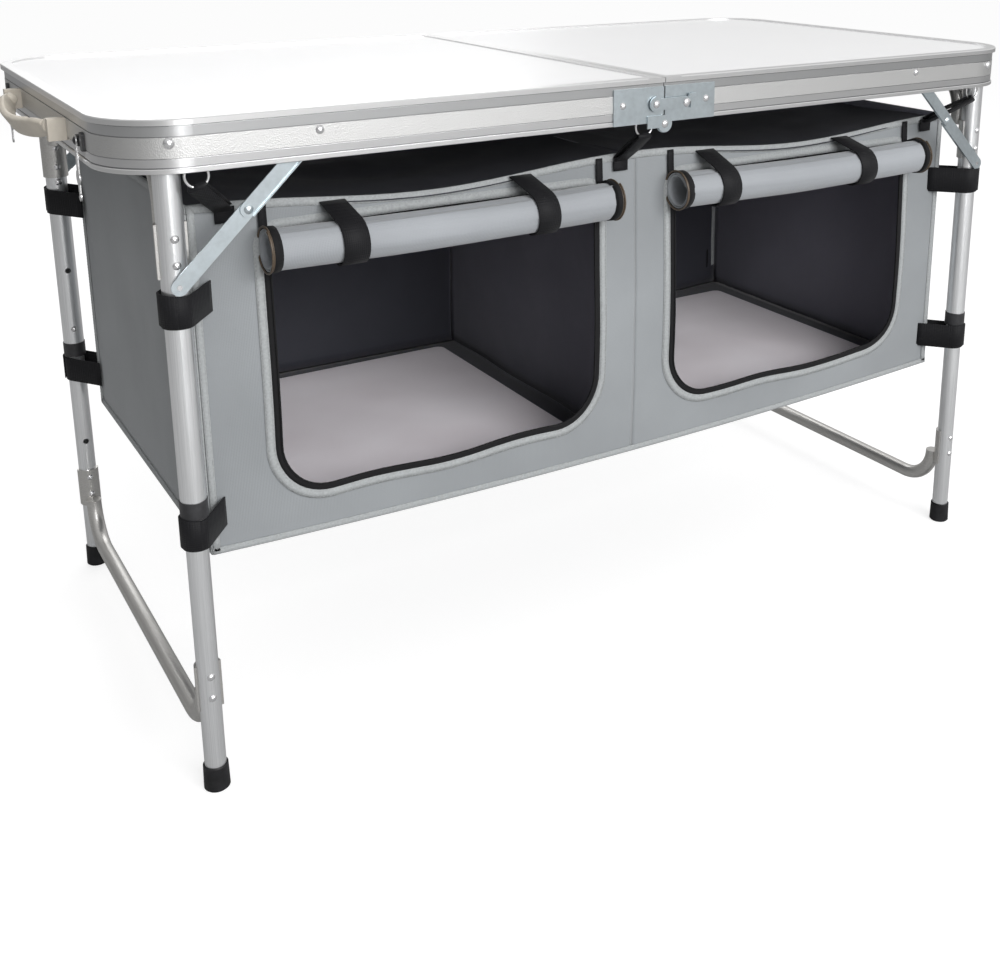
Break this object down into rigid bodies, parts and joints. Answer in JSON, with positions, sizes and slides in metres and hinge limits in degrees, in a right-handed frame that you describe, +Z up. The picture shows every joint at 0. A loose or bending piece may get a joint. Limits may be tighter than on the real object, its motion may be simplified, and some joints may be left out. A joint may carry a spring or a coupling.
{
  "type": "folding camp kitchen table",
  "caption": "Suitcase-style folding aluminium table with telescopic leg frames and a hanging cloth organizer with rolled-up doors.",
  "frame": {"origin": "on the floor, under the centre of the table top", "axes": "+X along the length of the top to the right end, +Y to the back, +Z up; the organizer's doors face -Y"},
  "size_m": [1.2698, 0.609, 0.7],
  "materials": {
    "laminate": "smooth white laminate with a faint sheen",
    "rail_aluminium": "brushed extrusion with an embossed band and a polished lip",
    "rivet_steel": "bright domed heads",
    "zinc_steel": "bluish zinc plate",
    "ivory_plastic": "ivory moulded plastic",
    "wire_steel": "plated wire and spring steel",
    "tube_aluminium": "satin anodised tube",
    "bar_aluminium": "raw bent tube, slightly darker",
    "black_plastic": "black moulded plastic",
    "black_rubber": "black rubber with a dull sheen",
    "grey_cloth": "grey coated polyester weave with pale bindings",
    "dark_cloth": "near-black coated lining cloth",
    "pale_board": "pale pinkish-white covered board",
    "zip_tape": "black zip tape with a bronze coil",
    "webbing": "black polypropylene webbing"
  },
  "bodies": {
    "left_half": {"left_board": "laminate", "left_edge_rail": "rail_aluminium", "left_seam_rail": "rail_aluminium", "left_rail_rivets": "rivet_steel", "left_centre_plates": "zinc_steel", "centre_rivets": "rivet_steel", "left_handle_brackets": "ivory_plastic", "left_bag_hooks": "wire_steel", "latch_windows": "black_plastic", "organizer_left_shell": "grey_cloth", "organizer_left_top": "dark_cloth", "left_floor_board": "pale_board", "left_rolled_door": "grey_cloth", "left_door_zip": "zip_tape", "left_webbing": "webbing"},
    "right_half": {"right_board": "laminate", "right_edge_rail": "rail_aluminium", "right_seam_rail": "rail_aluminium", "right_rail_rivets": "rivet_steel", "right_centre_plates": "zinc_steel", "lock_studs": "rivet_steel", "right_handle_brackets": "ivory_plastic", "right_bag_hooks": "wire_steel", "catch_studs": "rivet_steel", "organizer_right_shell": "grey_cloth", "organizer_right_top": "dark_cloth", "right_floor_board": "pale_board", "right_rolled_door": "grey_cloth", "right_door_zip": "zip_tape", "right_webbing": "webbing"},
    "left_grip": {"left_handle": "ivory_plastic"},
    "right_grip": {"right_handle": "ivory_plastic"},
    "front_lock": {"front_lock_link": "zinc_steel"},
    "back_lock": {"back_lock_link": "zinc_steel"},
    "front_latch": {"front_latch_hook": "wire_steel"},
    "back_latch": {"back_latch_hook": "wire_steel"},
    "left_leg_frame": {"left_upper_tubes": "tube_aluminium", "left_crossbar": "bar_aluminium", "left_collars": "black_plastic", "left_frame_rivets": "rivet_steel"},
    "left_lower_legs": {"left_lower_tubes": "tube_aluminium", "left_foot_bar": "bar_aluminium", "left_foot_caps": "black_rubber", "left_foot_bar_rivets": "rivet_steel"},
    "left_stays_upper": {"left_upper_stays": "zinc_steel"},
    "left_stays_lower": {"left_lower_stays": "zinc_steel"},
    "front_left_button": {"button_front_left": "wire_steel"},
    "back_left_button": {"button_back_left": "wire_steel"},
    "right_leg_frame": {"right_upper_tubes": "tube_aluminium", "right_crossbar": "bar_aluminium", "right_collars": "black_plastic", "right_frame_rivets": "rivet_steel"},
    "right_lower_legs": {"right_lower_tubes": "tube_aluminium", "right_foot_bar": "bar_aluminium", "right_foot_caps": "black_rubber", "right_foot_bar_rivets": "rivet_steel"},
    "right_stays_upper": {"right_upper_stays": "zinc_steel"},
    "right_stays_lower": {"right_lower_stays": "zinc_steel"},
    "front_right_button": {"button_front_right": "wire_steel"},
    "back_right_button": {"button_back_right": "wire_steel"}
  },
  "joints": [
    {"name": "table_fold", "type": "hinge", "parent": "left_half", "child": "right_half", "pos_m": [0, 0, 0.648], "axis": [0, 1, 0], "range_deg": [0, 70], "deforming": ["organizer_left_shell", "organizer_left_top", "left_floor_board", "left_rolled_door", "left_door_zip", "left_webbing", "organizer_right_shell", "organizer_right_top", "right_floor_board", "right_rolled_door", "right_door_zip", "right_webbing"]},
    {"name": "front_lock_lift", "type": "hinge", "parent": "left_half", "child": "front_lock", "pos_m": [-0.013, -0.3, 0.671], "axis": [0, -1, 0], "range_deg": [0, 90]},
    {"name": "back_lock_lift", "type": "hinge", "parent": "left_half", "child": "back_lock", "pos_m": [-0.013, 0.3, 0.671], "axis": [0, -1, 0], "range_deg": [0, 90]},
    {"name": "left_leg_fold", "type": "hinge", "parent": "left_half", "child": "left_leg_frame", "pos_m": [-0.543, 0, 0.678], "axis": [0, -1, 0], "range_deg": [0, 90]},
    {"name": "left_leg_slide", "type": "slide", "parent": "left_leg_frame", "child": "left_lower_legs", "axis": [0, 0, 1], "range_m": [0, 0.16]},
    {"name": "left_upper_stay_fold", "type": "hinge", "parent": "left_half", "child": "left_stays_upper", "pos_m": [-0.403, 0, 0.678], "axis": [0, 1, 0], "range_deg": [0, 45]},
    {"name": "left_lower_stay_fold", "type": "hinge", "parent": "left_leg_frame", "child": "left_stays_lower", "pos_m": [-0.543, 0, 0.543], "axis": [0, -1, 0], "range_deg": [0, 47]},
    {"name": "left_grip_tilt", "type": "hinge", "parent": "left_half", "child": "left_grip", "pos_m": [-0.61, 0, 0.674], "axis": [0, 1, 0], "range_deg": [0, 75]},
    {"name": "front_left_button_press", "type": "slide", "parent": "left_leg_frame", "child": "front_left_button", "axis": [0, -1, 0], "range_m": [0, 0.0025], "stiffness_N_per_m": 900, "springref_m": -0.001},
    {"name": "back_left_button_press", "type": "slide", "parent": "left_leg_frame", "child": "back_left_button", "axis": [0, 1, 0], "range_m": [0, 0.0025], "stiffness_N_per_m": 900, "springref_m": -0.001},
    {"name": "right_leg_fold", "type": "hinge", "parent": "right_half", "child": "right_leg_frame", "pos_m": [0.543, 0, 0.678], "axis": [0, 1, 0], "range_deg": [0, 90]},
    {"name": "right_leg_slide", "type": "slide", "parent": "right_leg_frame", "child": "right_lower_legs", "axis": [0, 0, 1], "range_m": [0, 0.16]},
    {"name": "right_upper_stay_fold", "type": "hinge", "parent": "right_half", "child": "right_stays_upper", "pos_m": [0.403, 0, 0.678], "axis": [0, -1, 0], "range_deg": [0, 45]},
    {"name": "right_lower_stay_fold", "type": "hinge", "parent": "right_leg_frame", "child": "right_stays_lower", "pos_m": [0.543, 0, 0.543], "axis": [0, 1, 0], "range_deg": [0, 47]},
    {"name": "right_grip_tilt", "type": "hinge", "parent": "right_half", "child": "right_grip", "pos_m": [0.61, 0, 0.674], "axis": [0, -1, 0], "range_deg": [0, 75]},
    {"name": "front_right_button_press", "type": "slide", "parent": "right_leg_frame", "child": "front_right_button", "axis": [0, -1, 0], "range_m": [0, 0.0025], "stiffness_N_per_m": 900, "springref_m": -0.001},
    {"name": "back_right_button_press", "type": "slide", "parent": "right_leg_frame", "child": "back_right_button", "axis": [0, 1, 0], "range_m": [0, 0.0025], "stiffness_N_per_m": 900, "springref_m": -0.001},
    {"name": "front_latch_swing", "type": "hinge", "parent": "left_half", "child": "front_latch", "pos_m": [-0.601, -0.186, 0.67], "axis": [-1, 0, 0], "range_deg": [-45, 100]},
    {"name": "back_latch_swing", "type": "hinge", "parent": "left_half", "child": "back_latch", "pos_m": [-0.601, 0.186, 0.67], "axis": [1, 0, 0], "range_deg": [-45, 100]}
  ],
  "couplings": [
    {"joint": "front_lock_lift", "follows": "table_fold", "ratio": 1.25},
    {"joint": "back_lock_lift", "follows": "table_fold", "ratio": 1.25},
    {"joint": "left_leg_slide", "follows": "left_leg_fold", "m_per_rad": 0.10185},
    {"joint": "left_upper_stay_fold", "follows": "left_leg_fold", "ratio": 0.48843},
    {"joint": "left_lower_stay_fold", "follows": "left_leg_fold", "ratio": 0.51157},
    {"joint": "right_leg_slide", "follows": "right_leg_fold", "m_per_rad": 0.10185},
    {"joint": "right_upper_stay_fold", "follows": "right_leg_fold", "ratio": 0.48843},
    {"joint": "right_lower_stay_fold", "follows": "right_leg_fold", "ratio": 0.51157}
  ]
}
